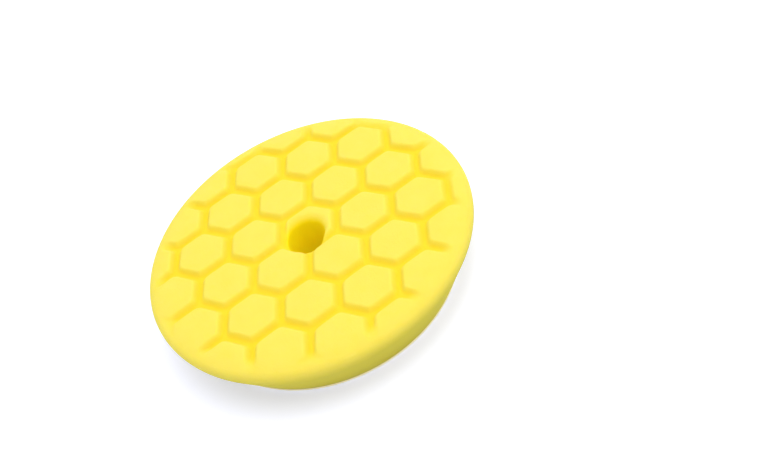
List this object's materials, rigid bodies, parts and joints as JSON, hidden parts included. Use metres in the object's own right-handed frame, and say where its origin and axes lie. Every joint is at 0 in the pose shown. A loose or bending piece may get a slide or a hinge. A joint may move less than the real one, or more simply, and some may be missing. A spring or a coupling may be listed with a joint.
{
  "type": "foam polishing pad",
  "caption": "Tapered foam polishing pad with a honeycomb working face, centring hole and loop-cloth back for a hook backing plate.",
  "frame": {"origin": "centre of the loop backing's outer face, on the pad's axis", "axes": "+Z along the pad's axis from the loop backing to the working face; the rows of honeycomb cells run along X"},
  "size_m": [0.15, 0.15, 0.0318],
  "materials": {
    "foam": "matte yellow open-cell polyurethane foam",
    "film": "translucent hot-melt adhesive film",
    "loop_cloth": "cream brushed loop velour"
  },
  "bodies": {
    "root": {"foam_disc": "foam", "adhesive_film": "film", "loop_backing": "loop_cloth"}
  },
  "joints": []
}
